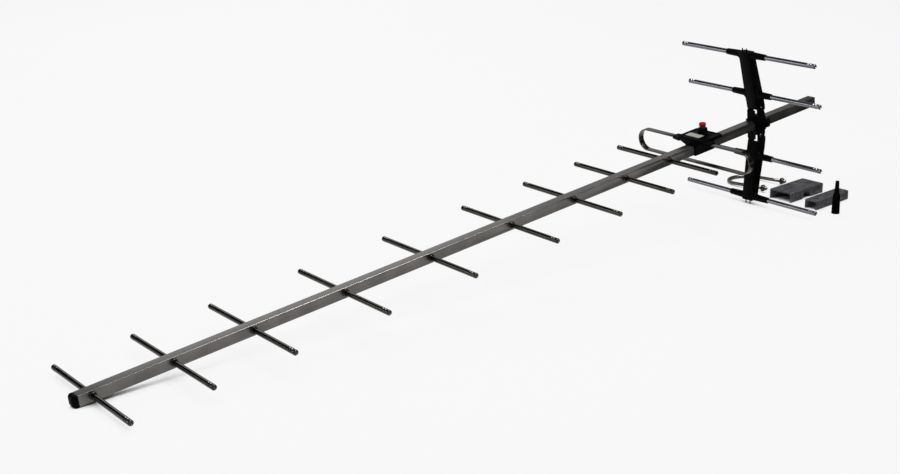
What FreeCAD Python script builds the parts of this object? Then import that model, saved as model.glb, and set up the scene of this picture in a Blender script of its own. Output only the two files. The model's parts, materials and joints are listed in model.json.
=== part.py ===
"""UHF yagi antenna laid out with its loose mast-clamp parts.

Frame: X runs along the boom from its tail to its nose, Y along the elements,
Z up.  The origin is the centre of the tail cap's flat end face.  Millimetres.
"""
import FreeCAD
import Part
import math
import os

V = FreeCAD.Vector
X_AXIS = V(1, 0, 0)
Y_AXIS = V(0, 1, 0)
Z_AXIS = V(0, 0, 1)

# ---------------------------------------------------------------- boom
BOOM_SIDE = 16.0
BOOM_HALF = BOOM_SIDE / 2
BOOM_WALL = 1.2
BOOM_START = 2.0
BOOM_END = 1431.0
TAIL_PLUG_LENGTH = 12.0
NOSE_PLUG_LENGTH = 9.0
CAP_PLUG_GAP = 0.1
NOSE_LENGTH = 8.5
NOSE_ROUNDING = 5.5

# ---------------------------------------------------------------- elements
ROD_R = 4.0
ROD_WALL = 0.8
ROD_VENT_R = 0.8
ROD_DOME = 2.0
CRIMP_DEPTH = 0.4
CRIMP_HALF_WIDTH = 1.2
CRIMP_SPOTS = (7.0, 12.0)
DIRECTOR_LENGTH = 220.0
DIRECTOR_X = (1411.5, 1297.4, 1177.1, 1027.5, 875.8, 720.8, 591.6, 477.5, 377.0)
FERRULE_R = 5.4
FERRULE_LENGTH = 1.8

# ---------------------------------------------------------------- folded dipole
DIPOLE_X = 309.0
DIPOLE_LENGTH = 246.0
STRIP_WIDTH = 11.0
STRIP_THICKNESS = 2.0
STRIP_TOP_Z = 14.4
STRIP_BOTTOM_Z = -22.4
FEED_GAP = 16.0

# ---------------------------------------------------------------- connection box
BOX_X0 = 270.0
BOX_X1 = 317.0
BOX_HALF_Y = 28.0
BOX_WALL = 2.2
BOX_SPLIT_Z = 17.5
BOX_FLOOR_Z = 10.4
BOX_SLOPE_Y = 12.5
CHEEK_WALL = 2.6
CHEEK_BOTTOM_Z = -9.2
CHEEK_LIP = 1.4
SNOUT_TIP_Y = 41.0
LID_TOP_Z = 20.0
LID_RIM = 1.8
LID_RECESS = 1.0
LID_LIP_DEPTH = 1.4
LID_GAP = 0.35
PORT_X = 283.0
PORT_Y = -3.0
COLLAR_R = 8.0
COLLAR_BORE_R = 6.4
COLLAR_TOP_Z = 28.0
BOARD_X0 = 276.5
BOARD_X1 = 314.3
BOARD_HALF_Y = 14.0
BOARD_THICKNESS = 1.6
THREAD_R = 4.76
THREAD_TOP_Z = 33.0
CAP_R = 5.6
CAP_BORE_R = 5.1
CAP_BOTTOM_Z = 25.0
CAP_TOP_Z = 37.0
SCREW_R = 1.5

# ---------------------------------------------------------------- reflector
PIVOT_X = 152.3
PIVOT_Z = 19.5
PIN_R = 1.5
PIN_GAP = 0.05
BRACKET_HALF_Y = 11.0
BRACKET_WALL = 2.4
SADDLE_X0 = 138.0
SADDLE_X1 = 161.0
SADDLE_HALF_Z = 12.5
HINGE_R = 11.2
HINGE_CLEARANCE = 0.4
NEAR_CHEEK_X = (140.0, 157.5)
FAR_CHEEK_X = (148.4, 159.0)
REAR_GUIDE_LENGTH = 12.0
FRONT_GUIDE_LENGTH = 4.0
GUIDE_WALL = 2.6
GUIDE_LIP = 2.4
GUIDE_EDGE_Z = 4.0
HEAD_R = 3.2
HEAD_HEIGHT = 1.6
HEAD_ROUNDING = 0.8
FRONT_WALL_TOP_Z = 26.0
FRONT_WALL_END_Y = 5.5
CORNER_POST_TOP_Z = 17.4
EAR_ROOM = 0.4
EAR_INNER_Y = 5.6
EAR_OUTER_Y = 8.2
EAR_R = 3.1
EAR_ROOT_Z = 40.0
ARM_START_Z = 31.0
ARM_SKIRT_Z = 24.0
ARM_END_Z = 133.5
ARM_WALL = 2.2
ARM_FRONT_X = 160.8
ARM_LEAN = 0.182
ARM_BACK_X = 139.5
ARM_KNEE = (142.0, 45.0)
ARM_TIP_BACK_X = 164.5
REFLECTOR_ROD_LENGTH = 285.6
INNER_ROD = (159.0, 56.0)
OUTER_ROD = (171.8, 128.0)
BOSS_HALF_Y = 41.0
BOSS_R = 5.2
BOSS_ROOT_R = 6.2
PEG_R = 1.0
PEG_LENGTH = 6.5
PEG_HALF_SPACING = 4.5

# ---------------------------------------------------------------- loose mast clamp
GROUND_TILT = 6.0
GROUND_X = 172.0
GROUND_Z = -141.0
LEG_HALF_SPACING = 30.0
BOLT_R = 3.0
LEG_LENGTH = 67.0
U_BOLT_PLACE = (81.2, -87.0, 5.4)
U_BOLT_TILT = 2.9
U_BOLT_LIFT = 4.8
NUT_FLATS = 11.0
NUT_THICKNESS = 5.0
NUT_FROM_TIP = 5.5
MAST_R = 13.0
MAST_SEAT_DEPTH = 12.0
MAST_SEAT_WALL = 2.0
MAST_BLOCK = (94.0, 45.5, 17.5)
MAST_BLOCK_PLACE = (75.9, 25.4, 2.1)
BOOM_BLOCK = (95.5, 24.2, 16.0)
BOOM_BLOCK_PLACE = (76.4, 91.4, 3.0)
DISH_R = 320.0
BLOCK_WALL = 2.5
LEG_HOLE_R = 3.3
BOOT_PLACE = (110.2, 137.0, 0.0)
BOOT_OUTSIDE = ((6.9, 0), (6.6, 20), (6.1, 32), (4.1, 38), (3.6, 44), (3.1, 57.5))
BOOT_INSIDE = ((5.5, -1), (5.2, 30), (3.0, 36.5), (1.9, 58.5))


# ---------------------------------------------------------------- helpers
def block(x0, x1, y0, y1, z0, z1):
    """A box between two corners."""
    return Part.makeBox(x1 - x0, y1 - y0, z1 - z0, V(x0, y0, z0))


def rod_between(start, axis, length, radius):
    """A cylinder from a point along an axis."""
    return Part.makeCylinder(radius, length, start, axis)


def prism(points, direction):
    """A polygon swept along a vector."""
    return Part.Face(Part.makePolygon(points + [points[0]])).extrude(direction)


def hexagon(centre, flats, height):
    """An upright hexagonal prism, measured across its flats."""
    radius = flats / math.sqrt(3)
    corners = []
    for i in range(6):
        angle = math.radians(60 * i)
        corners.append(centre + V(radius * math.cos(angle), radius * math.sin(angle), 0))
    return prism(corners, Z_AXIS * height)


def fused(shapes):
    """One solid from several overlapping ones."""
    return shapes[0].multiFuse(shapes[1:]).removeSplitter()


def flipped(shape):
    """The mirror image below the boom."""
    return shape.mirror(V(0, 0, 0), Z_AXIS)


def laid_out(shape, place):
    """Turn a loose part about Z and set it down on the ground.

    The antenna rests on its nose and on the pegs of its lower arm, so in this
    frame the ground climbs towards the nose by GROUND_TILT.
    """
    x, y, turn = place
    shape.rotate(V(0, 0, 0), Z_AXIS, turn)
    shape.translate(V(x - GROUND_X, y, 0))
    shape.rotate(V(0, 0, 0), Y_AXIS, -GROUND_TILT)
    shape.translate(V(GROUND_X, 0, GROUND_Z))
    return shape


def save(name, shape):
    shape.exportStep("parts/" + name + ".step")


# ---------------------------------------------------------------- boom and elements
def boom_tube():
    inner = BOOM_HALF - BOOM_WALL
    tube = block(BOOM_START, BOOM_END, -BOOM_HALF, BOOM_HALF, -BOOM_HALF, BOOM_HALF)
    tube = tube.makeFillet(0.8, [e for e in tube.Edges if e.Length > BOOM_END / 2])
    tube = tube.cut(block(BOOM_START - 1, BOOM_END + 1, -inner, inner, -inner, inner))
    for x in DIRECTOR_X:
        tube = tube.cut(rod_between(V(x, -BOOM_SIDE, 0), Y_AXIS, 2 * BOOM_SIDE, ROD_R))
    return tube


def cap_plug(x0, x1):
    half = BOOM_HALF - BOOM_WALL - CAP_PLUG_GAP
    plug = block(x0, x1, -half, half, -half, half)
    hollow = block(x0, x1, -half + 1.5, half - 1.5, -half + 1.5, half - 1.5)
    return plug, hollow


def tail_cap():
    flange = block(0, BOOM_START, -BOOM_HALF, BOOM_HALF, -BOOM_HALF, BOOM_HALF)
    flange = flange.makeFillet(0.8, [e for e in flange.Edges if abs(e.Length - BOOM_START) < 0.01])
    plug, hollow = cap_plug(BOOM_START, BOOM_START + TAIL_PLUG_LENGTH)
    return fused([flange, plug]).cut(hollow)


def nose_cap():
    flange = block(BOOM_END, BOOM_END + NOSE_LENGTH, -BOOM_HALF, BOOM_HALF, -BOOM_HALF, BOOM_HALF)
    front = [e for e in flange.Edges if e.BoundBox.XMin > BOOM_END + NOSE_LENGTH - 0.01]
    flange = flange.makeFillet(NOSE_ROUNDING, front)
    plug, hollow = cap_plug(BOOM_END - NOSE_PLUG_LENGTH, BOOM_END)
    return fused([flange, plug]).cut(hollow)


def element_rod(x, z, length):
    """A thin tube along Y with spun-over ends and two rolled grooves near each."""
    half = length / 2
    outline = [V(0, -half, 0), V(ROD_R - ROD_DOME * 0.5, -half, 0), V(ROD_R, -half + ROD_DOME, 0)]
    outline += [V(ROD_R, half - ROD_DOME, 0), V(ROD_R - ROD_DOME * 0.5, half, 0), V(0, half, 0)]
    rod = Part.Face(Part.makePolygon(outline + [outline[0]])).revolve(V(0, 0, 0), Y_AXIS, 360)
    for spot in CRIMP_SPOTS:
        for side in (-1, 1):
            y = side * (half - spot)
            ring = [V(ROD_R + 1, y - CRIMP_HALF_WIDTH - 1, 0), V(ROD_R - CRIMP_DEPTH, y, 0)]
            ring.append(V(ROD_R + 1, y + CRIMP_HALF_WIDTH + 1, 0))
            groove = Part.Face(Part.makePolygon(ring + [ring[0]])).revolve(V(0, 0, 0), Y_AXIS, 360)
            rod = rod.cut(groove)
    bore_half = half - ROD_DOME - 1
    rod = rod.cut(rod_between(V(0, -bore_half, 0), Y_AXIS, 2 * bore_half, ROD_R - ROD_WALL))
    rod = rod.cut(rod_between(V(0, -half - 1, 0), Y_AXIS, length + 2, ROD_VENT_R))
    rod.translate(V(x, 0, z))
    return rod


def director_ferrules():
    rings = []
    for x in DIRECTOR_X:
        for side in (-1, 1):
            start = V(x, side * BOOM_HALF, 0)
            ring = rod_between(start, Y_AXIS * side, FERRULE_LENGTH, FERRULE_R)
            ring = ring.cut(rod_between(start, Y_AXIS * side, FERRULE_LENGTH, ROD_R))
            rings.append(ring)
    return Part.makeCompound(rings)


# ---------------------------------------------------------------- folded dipole
def stadium(offset):
    """The loop's outline in the YZ plane, offset from its centre line."""
    radius = (STRIP_TOP_Z - STRIP_BOTTOM_Z) / 2 + offset
    middle = (STRIP_TOP_Z + STRIP_BOTTOM_Z) / 2
    straight = DIPOLE_LENGTH / 2 - STRIP_THICKNESS / 2 - (radius - offset)
    x = DIPOLE_X - STRIP_WIDTH / 2
    top_left = V(x, -straight, middle + radius)
    top_right = V(x, straight, middle + radius)
    bottom_right = V(x, straight, middle - radius)
    bottom_left = V(x, -straight, middle - radius)
    right = Part.Arc(top_right, V(x, straight + radius, middle), bottom_right).toShape()
    left = Part.Arc(bottom_left, V(x, -straight - radius, middle), top_left).toShape()
    top = Part.makeLine(top_left, top_right)
    bottom = Part.makeLine(bottom_right, bottom_left)
    return Part.Face(Part.Wire([top, right, bottom, left])).extrude(X_AXIS * STRIP_WIDTH)


def folded_dipole():
    half = STRIP_THICKNESS / 2
    loop = stadium(half).cut(stadium(-half))
    gap = block(DIPOLE_X - 20, DIPOLE_X + 20, -FEED_GAP / 2, FEED_GAP / 2, 0, STRIP_TOP_Z + 5)
    loop = loop.cut(gap)
    for y in terminal_spots():
        loop = loop.cut(rod_between(V(DIPOLE_X, y, 0), Z_AXIS, 30, SCREW_R))
    return loop


def terminal_spots():
    return (-FEED_GAP / 2 - 4, FEED_GAP / 2 + 4)


# ---------------------------------------------------------------- connection box
def box_base():
    half = BOX_HALF_Y
    slope_z = BOX_SPLIT_Z - 3
    cheek = BOOM_HALF + CHEEK_WALL
    right = [V(BOX_X0, half, BOX_SPLIT_Z), V(BOX_X0, half, slope_z), V(BOX_X0, cheek + 2, 7.5)]
    right += [V(BOX_X0, cheek, 5), V(BOX_X0, cheek, CHEEK_BOTTOM_Z)]
    right += [V(BOX_X0, BOOM_HALF - CHEEK_LIP, CHEEK_BOTTOM_Z), V(BOX_X0, BOOM_HALF - CHEEK_LIP, -BOOM_HALF)]
    right += [V(BOX_X0, BOOM_HALF, -BOOM_HALF), V(BOX_X0, BOOM_HALF, BOOM_HALF)]
    left = [V(p.x, -p.y, p.z) for p in reversed(right)]
    base = prism(right + left, X_AXIS * (BOX_X1 - BOX_X0))
    inner = half - BOX_WALL
    pocket = [V(0, inner, BOX_SPLIT_Z + 1), V(0, inner, slope_z + 1), V(0, BOX_SLOPE_Y, BOX_FLOOR_Z)]
    pocket += [V(0, -p.y, p.z) for p in reversed(pocket)]
    cavity = prism(pocket, X_AXIS * (BOX_X1 - BOX_X0 - 2 * BOX_WALL))
    cavity.translate(V(BOX_X0 + BOX_WALL, 0, 0))
    base = base.cut(cavity)
    base = fused([base, snout(1), snout(-1)] + board_posts())
    slot_x = STRIP_WIDTH / 2 + 0.1
    slot_z = STRIP_THICKNESS / 2 + 0.1
    slot = block(DIPOLE_X - slot_x, DIPOLE_X + slot_x, -60, 60, STRIP_TOP_Z - slot_z, STRIP_TOP_Z + slot_z)
    base = base.cut(slot)
    for x in fixing_spots():
        base = base.cut(rod_between(V(x, 0, 0), Z_AXIS, 20, SCREW_R))
    for y in terminal_spots():
        base = base.cut(rod_between(V(DIPOLE_X, y, BOX_FLOOR_Z), Z_AXIS, 20, SCREW_R))
    return base


def snout(side):
    """The tapered sleeve that supports the dipole strip where it leaves the box."""
    root_y = side * (BOX_HALF_Y - BOX_WALL)
    tip_y = side * SNOUT_TIP_Y
    root = Part.makePolygon(section(root_y, 7.8, 10.2, BOX_SPLIT_Z))
    tip = Part.makePolygon(section(tip_y, 6.8, 11.6, 17.0))
    return Part.makeLoft([root, tip], True, True)


def section(y, half_x, z0, z1):
    corners = [V(DIPOLE_X - half_x, y, z0), V(DIPOLE_X + half_x, y, z0)]
    corners += [V(DIPOLE_X + half_x, y, z1), V(DIPOLE_X - half_x, y, z1)]
    return corners + [corners[0]]


def board_bottom():
    return STRIP_TOP_Z - STRIP_THICKNESS / 2 - BOARD_THICKNESS


def board_posts():
    """Pillars under the two terminals and a ledge under the board's rear edge."""
    posts = []
    height = board_bottom() - BOX_FLOOR_Z + 1
    for y in terminal_spots():
        posts.append(rod_between(V(DIPOLE_X, y, BOX_FLOOR_Z - 1), Z_AXIS, height, 3))
    rear = BOX_X0 + BOX_WALL
    posts.append(block(rear - 1, BOARD_X0 + 2, -8, 8, BOX_FLOOR_Z - 1, board_bottom()))
    return posts


def fixing_spots():
    return (291.0, 300.0)


def box_lid():
    plate = block(BOX_X0, BOX_X1, -BOX_HALF_Y, BOX_HALF_Y, BOX_SPLIT_Z, LID_TOP_Z)
    lid_height = LID_TOP_Z - BOX_SPLIT_Z
    plate = plate.makeFillet(1.2, [e for e in plate.Edges if abs(e.Length - lid_height) < 0.01])
    recess = block(BOX_X0 + LID_RIM, BOX_X1 - LID_RIM, -BOX_HALF_Y + LID_RIM, BOX_HALF_Y - LID_RIM,
                   LID_TOP_Z - LID_RECESS, LID_TOP_Z + 1)
    plate = plate.cut(recess)
    step = BOX_WALL + LID_GAP
    lip = block(BOX_X0 + step, BOX_X1 - step, -BOX_HALF_Y + step, BOX_HALF_Y - step,
                BOX_SPLIT_Z - LID_LIP_DEPTH, BOX_SPLIT_Z + 0.5)
    inner = step + 1.4
    lip = lip.cut(block(BOX_X0 + inner, BOX_X1 - inner, -BOX_HALF_Y + inner, BOX_HALF_Y - inner,
                        BOX_SPLIT_Z - 5, BOX_SPLIT_Z + 5))
    strip_gap = STRIP_WIDTH / 2 + 0.4
    lip = lip.cut(block(DIPOLE_X - strip_gap, DIPOLE_X + strip_gap, -BOX_HALF_Y, BOX_HALF_Y,
                        BOX_SPLIT_Z - 5, BOX_SPLIT_Z))
    collar_height = COLLAR_TOP_Z - BOX_SPLIT_Z
    collar = rod_between(V(PORT_X, PORT_Y, BOX_SPLIT_Z), Z_AXIS, collar_height, COLLAR_R)
    rim = [e for e in collar.Edges if e.BoundBox.ZMin > COLLAR_TOP_Z - 0.01]
    collar = collar.makeFillet(0.6, rim)
    lid = fused([plate, lip, collar])
    lid = lid.cut(rod_between(V(PORT_X, PORT_Y, 0), Z_AXIS, 40, COLLAR_BORE_R))
    return lid.cut(gasket_ring())


def gasket_ring():
    """A flat seal let into the underside of the lid."""
    near = BOX_WALL / 2 - 0.5
    far = BOX_WALL / 2 + 0.5
    outer = block(BOX_X0 + near, BOX_X1 - near, -BOX_HALF_Y + near, BOX_HALF_Y - near,
                  BOX_SPLIT_Z, BOX_SPLIT_Z + 0.8)
    inner = block(BOX_X0 + far, BOX_X1 - far, -BOX_HALF_Y + far, BOX_HALF_Y - far,
                  BOX_SPLIT_Z, BOX_SPLIT_Z + 0.8)
    return outer.cut(inner)


def lid_label():
    top = LID_TOP_Z - LID_RECESS
    label = block(292.0, 306.0, -21.5, 8.5, top, top + 0.3)
    return label.makeFillet(1.0, [e for e in label.Edges if abs(e.Length - 0.3) < 0.01])


def balun_board():
    z0 = board_bottom()
    board = block(BOARD_X0, BOARD_X1, -BOARD_HALF_Y, BOARD_HALF_Y, z0, z0 + BOARD_THICKNESS)
    for y in terminal_spots():
        board = board.cut(rod_between(V(DIPOLE_X, y, 0), Z_AXIS, 30, SCREW_R))
    return board


def balun_core():
    """A two-hole ferrite core lying across the board."""
    z0 = board_bottom() + BOARD_THICKNESS
    core = block(293.0, 301.0, -6, 6, z0, z0 + 4)
    for y in (-2.8, 2.8):
        core = core.cut(rod_between(V(290, y, z0 + 2), X_AXIS, 20, 1.2))
    return core


def balun_winding():
    """Enamelled wire looped through both holes of the core."""
    z = board_bottom() + BOARD_THICKNESS + 2
    wires = []
    for y in (-2.8, 2.8):
        wires.append(rod_between(V(292.2, y, z), X_AXIS, 9.6, 0.6))
    for x in (292.2, 301.8):
        wires.append(rod_between(V(x, -2.8, z), Y_AXIS, 5.6, 0.6))
        for y in (-2.8, 2.8):
            wires.append(Part.makeSphere(0.6, V(x, y, z)))
    return fused(wires)


def terminal_screws():
    screws = []
    top = STRIP_TOP_Z + STRIP_THICKNESS / 2
    for y in terminal_spots():
        shank = rod_between(V(DIPOLE_X, y, BOX_FLOOR_Z), Z_AXIS, top - BOX_FLOOR_Z + 0.5, SCREW_R)
        head = rod_between(V(DIPOLE_X, y, top), Z_AXIS, 1.4, 3.0)
        slot = block(DIPOLE_X - 4, DIPOLE_X + 4, y - 0.35, y + 0.35, top + 0.8, top + 2)
        screws.append(fused([shank, head]).cut(slot))
    return Part.makeCompound(screws)


def box_fixing_screws():
    screws = []
    for x in fixing_spots():
        shank = rod_between(V(x, 0, BOOM_HALF), Z_AXIS, BOX_FLOOR_Z - BOOM_HALF + 0.3, SCREW_R)
        head = rod_between(V(x, 0, BOX_FLOOR_Z), Z_AXIS, 1.1, 2.6)
        screws.append(fused([shank, head]))
    return Part.makeCompound(screws)


def f_connector():
    """The threaded coax socket standing on the board."""
    z0 = board_bottom() + BOARD_THICKNESS
    base = hexagon(V(PORT_X, PORT_Y, z0), 11.0, 3.4)
    barrel = rod_between(V(PORT_X, PORT_Y, z0), Z_AXIS, THREAD_TOP_Z - z0, THREAD_R)
    tip = [e for e in barrel.Edges if e.BoundBox.ZMin > THREAD_TOP_Z - 0.01]
    barrel = barrel.makeChamfer(0.5, tip)
    bore = rod_between(V(PORT_X, PORT_Y, THREAD_TOP_Z - 8), Z_AXIS, 9, 3.4)
    return fused([base, barrel]).cut(bore)


def f_connector_insulator():
    core = rod_between(V(PORT_X, PORT_Y, THREAD_TOP_Z - 8), Z_AXIS, 7.4, 3.4)
    return core.cut(rod_between(V(PORT_X, PORT_Y, THREAD_TOP_Z - 6), Z_AXIS, 8, 0.6))


def connector_cap():
    """A push-on dust cap with a slightly wider grip band."""
    cap = rod_between(V(PORT_X, PORT_Y, CAP_BOTTOM_Z), Z_AXIS, CAP_TOP_Z - CAP_BOTTOM_Z, CAP_R - 0.05)
    band = rod_between(V(PORT_X, PORT_Y, CAP_TOP_Z - 4), Z_AXIS, 4, CAP_R + 0.2)
    top = [e for e in band.Edges if e.BoundBox.ZMin > CAP_TOP_Z - 0.01]
    band = band.makeFillet(0.8, top)
    depth = THREAD_TOP_Z + 0.4 - CAP_BOTTOM_Z
    return fused([cap, band]).cut(rod_between(V(PORT_X, PORT_Y, CAP_BOTTOM_Z), Z_AXIS, depth, CAP_BORE_R))


# ---------------------------------------------------------------- reflector
def reflector_saddle():
    """The moulded block on the boom, with cheeks that carry the fold pins.

    The far cheek is narrower than the near one, and a front wall joins them
    except at the near corner, so that a slot is left beside each pivot.
    """
    half_y = BRACKET_HALF_Y
    inner = half_y - BRACKET_WALL
    shapes = [block(SADDLE_X0, SADDLE_X1, -half_y, half_y, -SADDLE_HALF_Z, SADDLE_HALF_Z)]
    for y, (x0, x1) in ((inner, NEAR_CHEEK_X), (-half_y, FAR_CHEEK_X)):
        shapes.append(block(x0, x1, y, y + BRACKET_WALL, -PIVOT_Z, PIVOT_Z))
        disc = rod_between(V(PIVOT_X, y, PIVOT_Z), Y_AXIS, BRACKET_WALL, HINGE_R)
        rounded_end = disc.common(block(x0, x1, -half_y, half_y, PIVOT_Z - 1, PIVOT_Z + HINGE_R))
        shapes += [rounded_end, flipped(rounded_end)]
    wall_x = SADDLE_X1 - BRACKET_WALL
    shapes.append(block(wall_x, SADDLE_X1, -half_y, FRONT_WALL_END_Y, -FRONT_WALL_TOP_Z, FRONT_WALL_TOP_Z))
    post_x = NEAR_CHEEK_X[1]
    shapes.append(block(post_x, SADDLE_X1, FRONT_WALL_END_Y, half_y, -CORNER_POST_TOP_Z, CORNER_POST_TOP_Z))
    slot_y = (-EAR_OUTER_Y - EAR_ROOM, -EAR_INNER_Y + EAR_ROOM)
    ear_slot = block(wall_x - 1, SADDLE_X1 + 1, *slot_y, CORNER_POST_TOP_Z, FRONT_WALL_TOP_Z + 1)
    outer = BOOM_HALF + GUIDE_WALL
    lip = BOOM_HALF + GUIDE_LIP
    rear_guide = block(SADDLE_X0 - REAR_GUIDE_LENGTH, SADDLE_X0, -outer, outer, -lip, GUIDE_EDGE_Z)
    front_guide = block(SADDLE_X1, SADDLE_X1 + FRONT_GUIDE_LENGTH, -outer, outer, GUIDE_EDGE_Z, lip)
    shapes += [rear_guide, front_guide]
    saddle = fused(shapes).cut(ear_slot).cut(flipped(ear_slot))
    boom_hole = block(SADDLE_X0 - 20, SADDLE_X1 + 10, -BOOM_HALF, BOOM_HALF, -BOOM_HALF, BOOM_HALF)
    saddle = saddle.cut(boom_hole)
    for z in (-PIVOT_Z, PIVOT_Z):
        saddle = saddle.cut(rod_between(V(PIVOT_X, -20, z), Y_AXIS, 40, PIN_R))
    return saddle.cut(rod_between(V(PIVOT_X, 0, -20), Z_AXIS, 20, SCREW_R))


def saddle_screw():
    """Fixes the saddle to the boom from below."""
    shank = rod_between(V(PIVOT_X, 0, -SADDLE_HALF_Z - 0.2), Z_AXIS, SADDLE_HALF_Z - BOOM_HALF + 0.2, SCREW_R)
    head = rod_between(V(PIVOT_X, 0, -SADDLE_HALF_Z - HEAD_HEIGHT), Z_AXIS, HEAD_HEIGHT, HEAD_R)
    return fused([shank, head])


def fold_pins():
    """Two short headed pins, each through one cheek and one ear of an arm."""
    pins = []
    inside = EAR_INNER_Y - 0.4
    length = BRACKET_HALF_Y - inside + 0.5
    for side in (-1, 1):
        shank = rod_between(V(PIVOT_X, side * inside, PIVOT_Z), Y_AXIS * side, length, PIN_R)
        root = V(PIVOT_X, side * BRACKET_HALF_Y, PIVOT_Z)
        head = rod_between(root, Y_AXIS * side, HEAD_HEIGHT, HEAD_R)
        rim = [e for e in head.Edges if abs(e.BoundBox.Center.y) > BRACKET_HALF_Y + 1.5]
        pins.append(fused([shank, head.makeFillet(HEAD_ROUNDING, rim)]))
    return Part.makeCompound(pins)


def arm_front_x(z):
    """X of the arm's front face, which leans towards the nose."""
    return ARM_FRONT_X + (z - ARM_START_Z) * ARM_LEAN


def arm_outline():
    front = [V(arm_front_x(ARM_SKIRT_Z), 0, ARM_SKIRT_Z), V(arm_front_x(ARM_END_Z), 0, ARM_END_Z)]
    back = [V(ARM_TIP_BACK_X, 0, ARM_END_Z), V(ARM_KNEE[0], 0, ARM_KNEE[1])]
    back += [V(ARM_BACK_X, 0, ARM_START_Z), V(ARM_BACK_X, 0, ARM_SKIRT_Z)]
    return front + back


def arm_shell():
    """A channel that is closed in front and at its outer end and open at the back.

    Its inner end is hollowed to turn closely round the saddle's rounded cheeks.
    """
    shell = prism(arm_outline(), Y_AXIS * 2 * BRACKET_HALF_Y)
    shell.translate(V(0, -BRACKET_HALF_Y, 0))
    low = ARM_SKIRT_Z - 1
    high = ARM_END_Z - ARM_WALL
    hollow = [V(arm_front_x(low) - ARM_WALL, 0, low), V(arm_front_x(high) - ARM_WALL, 0, high)]
    hollow += [V(130, 0, high), V(130, 0, low)]
    inner = BRACKET_HALF_Y - BRACKET_WALL
    pocket = prism(hollow, Y_AXIS * 2 * inner)
    pocket.translate(V(0, -inner, 0))
    far_back = [V(130, 0, low), V(150, 0, low), V(150, 0, ARM_START_Z), V(143, 0, 48), V(130, 0, 48)]
    relief = prism(far_back, -Y_AXIS * BRACKET_HALF_Y * 2)
    hinge_room = rod_between(V(PIVOT_X, -20, PIVOT_Z), Y_AXIS, 40, HINGE_R + HINGE_CLEARANCE)
    return shell.cut(pocket).cut(relief).cut(hinge_room)


def boss(rod, side):
    """Half of a rod boss, tapering outwards from the arm."""
    x, z = rod
    length = BOSS_HALF_Y - BRACKET_HALF_Y + 4
    start = V(x, side * (BRACKET_HALF_Y - 4), z)
    cone = Part.makeCone(BOSS_ROOT_R, BOSS_R, length, start, Y_AXIS * side)
    tip = [e for e in cone.Edges if abs(abs(e.BoundBox.YMin) - BOSS_HALF_Y) < 0.01]
    return cone.makeFillet(0.6, tip)


def flare(rod, side, depth, reach):
    """A curved gusset in the corner between a boss and the arm."""
    x, z = rod
    thickness = 7.0
    edge_z = z + math.copysign(2.0, depth)
    corner = V(x, side * (BRACKET_HALF_Y - 1), edge_z)
    out = V(x, side * (BRACKET_HALF_Y + reach), edge_z)
    start = V(x, side * (BRACKET_HALF_Y + reach), z + math.copysign(4.2, depth))
    end = V(x, side * BRACKET_HALF_Y, z + depth)
    middle = V(x, side * (BRACKET_HALF_Y + reach * 0.24), z + math.copysign(4.2, depth) + (depth * 0.22))
    close = V(x, side * (BRACKET_HALF_Y - 1), z + depth)
    edges = [Part.makeLine(corner, out), Part.makeLine(out, start)]
    edges += [Part.Arc(start, middle, end).toShape(), Part.makeLine(end, close)]
    edges.append(Part.makeLine(close, corner))
    gusset = Part.Face(Part.Wire(edges)).extrude(X_AXIS * thickness)
    gusset.translate(V(-thickness / 2, 0, 0))
    return gusset


def arm_ears():
    """The two ears that turn between the saddle's cheeks."""
    ears = []
    thickness = EAR_OUTER_Y - EAR_INNER_Y
    neck_z = ARM_START_Z + 0.5
    for side in (-1, 1):
        start = V(PIVOT_X, side * EAR_INNER_Y, PIVOT_Z)
        ears.append(rod_between(start, Y_AXIS * side, thickness, EAR_R))
        y0, y1 = sorted((side * EAR_INNER_Y, side * EAR_OUTER_Y))
        ears.append(block(PIVOT_X - EAR_R, PIVOT_X + EAR_R, y0, y1, PIVOT_Z, EAR_ROOT_Z))
        y0, y1 = sorted((side * EAR_INNER_Y, side * (EAR_OUTER_Y + 1)))
        ears.append(block(PIVOT_X - EAR_R, PIVOT_X + EAR_R, y0, y1, neck_z, EAR_ROOT_Z))
    return ears


def reflector_arm():
    shapes = [arm_shell()] + arm_ears()
    for rod, inward, outward in ((INNER_ROD, -13.5, 8.0), (OUTER_ROD, -13.5, 0)):
        for side in (-1, 1):
            shapes.append(boss(rod, side))
            shapes.append(flare(rod, side, inward, 12.0))
            if outward:
                shapes.append(flare(rod, side, outward, 5.0))
        x, z = rod
        inner = BRACKET_HALF_Y - 1
        shapes.append(rod_between(V(x, -inner, z), Y_AXIS, 2 * inner, BOSS_ROOT_R - 0.6))
    peg_x = arm_front_x(ARM_END_Z) - 3
    for y in (-PEG_HALF_SPACING, PEG_HALF_SPACING):
        shapes.append(rod_between(V(peg_x, y, ARM_END_Z - 1), Z_AXIS, PEG_LENGTH + 1, PEG_R))
    shapes.append(Part.makeSphere(3.0, V(OUTER_ROD[0] - 1, 0, ARM_END_Z - 0.8)))
    arm = fused(shapes)
    for x, z in (INNER_ROD, OUTER_ROD):
        arm = arm.cut(rod_between(V(x, -60, z), Y_AXIS, 120, ROD_R))
    return arm.cut(rod_between(V(PIVOT_X, -30, PIVOT_Z), Y_AXIS, 60, PIN_R + PIN_GAP))


# ---------------------------------------------------------------- loose mast clamp
def u_bolt_pose(shape):
    """Tip the U-bolt so that its bend touches the ground, then set it down."""
    shape.rotate(V(0, 0, 0), X_AXIS, U_BOLT_TILT)
    shape.translate(V(0, 0, U_BOLT_LIFT))
    return laid_out(shape, U_BOLT_PLACE)


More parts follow.
